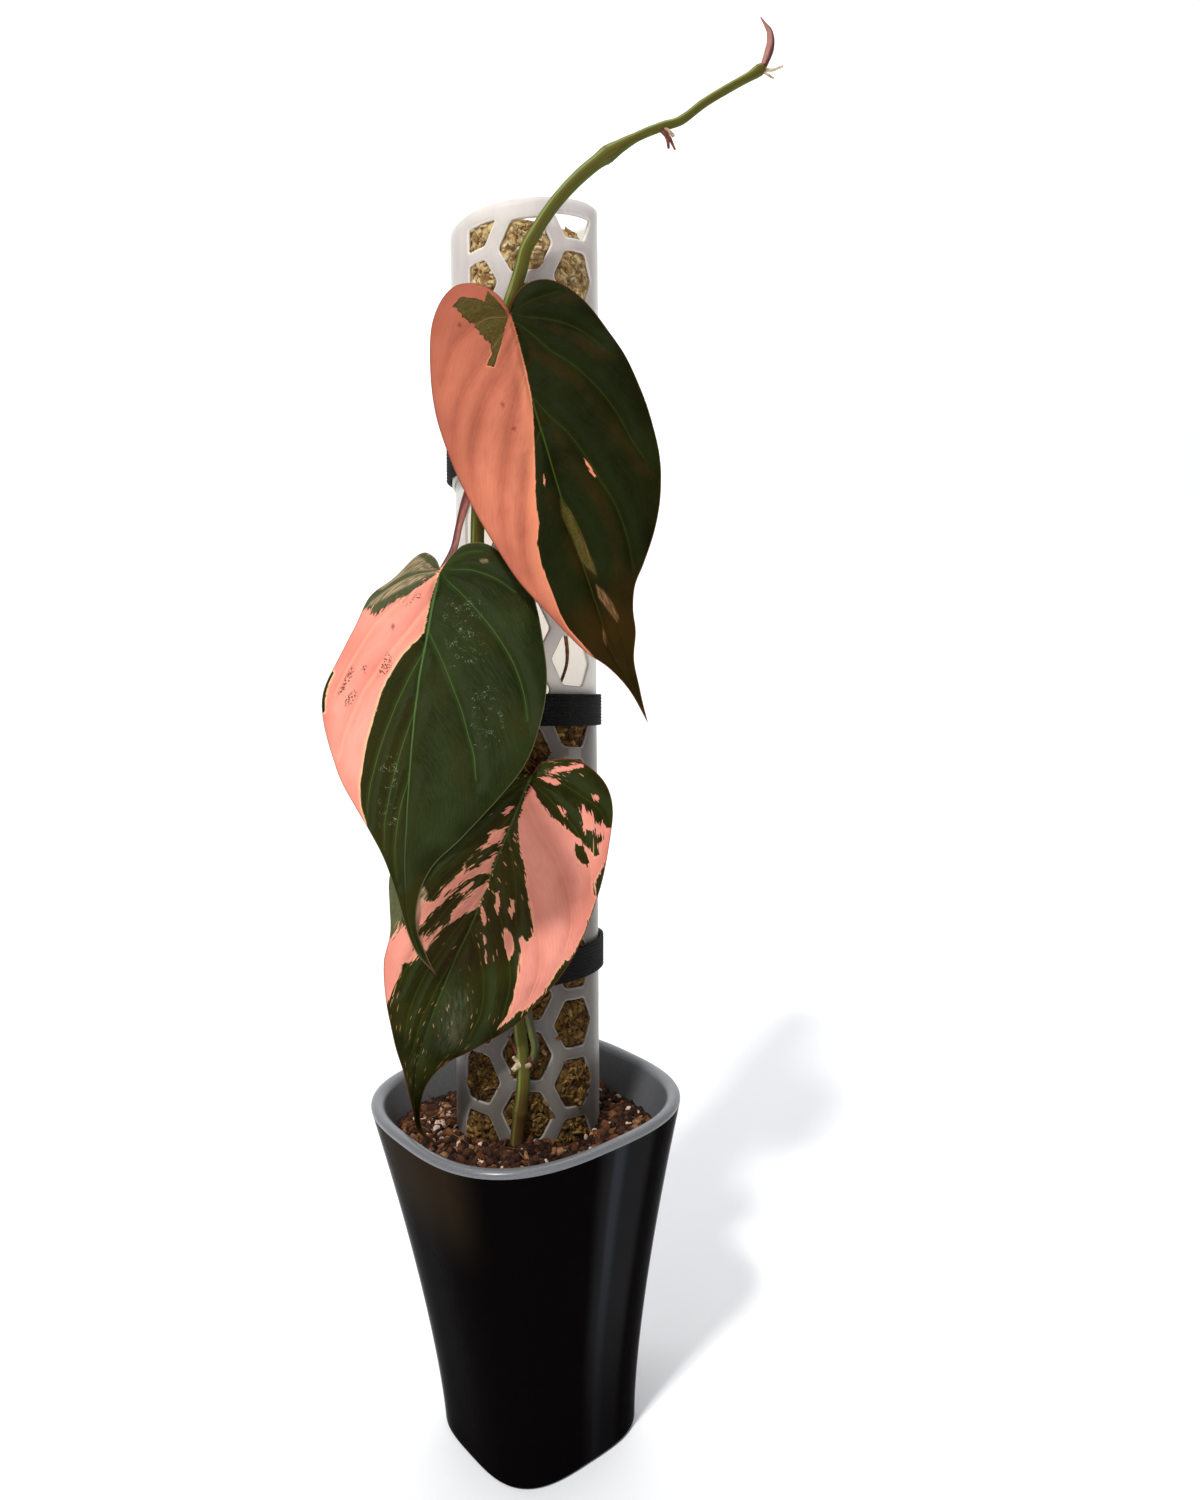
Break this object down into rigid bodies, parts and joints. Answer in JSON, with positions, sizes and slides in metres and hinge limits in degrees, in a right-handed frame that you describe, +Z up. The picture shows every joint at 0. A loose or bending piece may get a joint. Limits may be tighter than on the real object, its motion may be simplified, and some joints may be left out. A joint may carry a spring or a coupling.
{
  "type": "potted climbing plant",
  "caption": "Climbing variegated aroid with heart-shaped pink and green leaves, strapped to a windowed moss pole in a small rounded-square pot.",
  "frame": {"origin": "middle of the pot's flat base, on the surface it stands on", "axes": "+Z up, the leaves face -Y, +X to the right seen from the front"},
  "size_m": [0.156, 0.1201, 0.4811],
  "materials": {
    "pot_glaze": "gloss black outside, satin grey rim and inside",
    "potting_mix": "coarse, matte",
    "sleeve_plastic": "translucent, frosted",
    "moss_damp": "fibrous, matte",
    "moss_dry": "fibrous, matte",
    "strap_webbing": "woven, matte",
    "stem": "smooth, satin",
    "petiole": "smooth, satin",
    "leaf": "velvety, pink and dark green",
    "sheath": "smooth, satin",
    "root": "fibrous, matte"
  },
  "bodies": {
    "root": {"pot": "pot_glaze", "soil": "potting_mix", "sleeve_lower": "sleeve_plastic", "sleeve_upper": "sleeve_plastic", "moss_lower": "moss_damp", "moss_upper": "moss_dry", "strap_lower": "strap_webbing", "strap_middle": "strap_webbing", "strap_top": "strap_webbing", "vine": "stem", "petiole_top": "petiole", "petiole_middle": "petiole", "petiole_lower": "petiole", "leaf_top": "leaf", "leaf_middle": "leaf", "leaf_lower": "leaf", "new_leaf_sheath": "sheath", "aerial_roots": "root"}
  },
  "joints": []
}
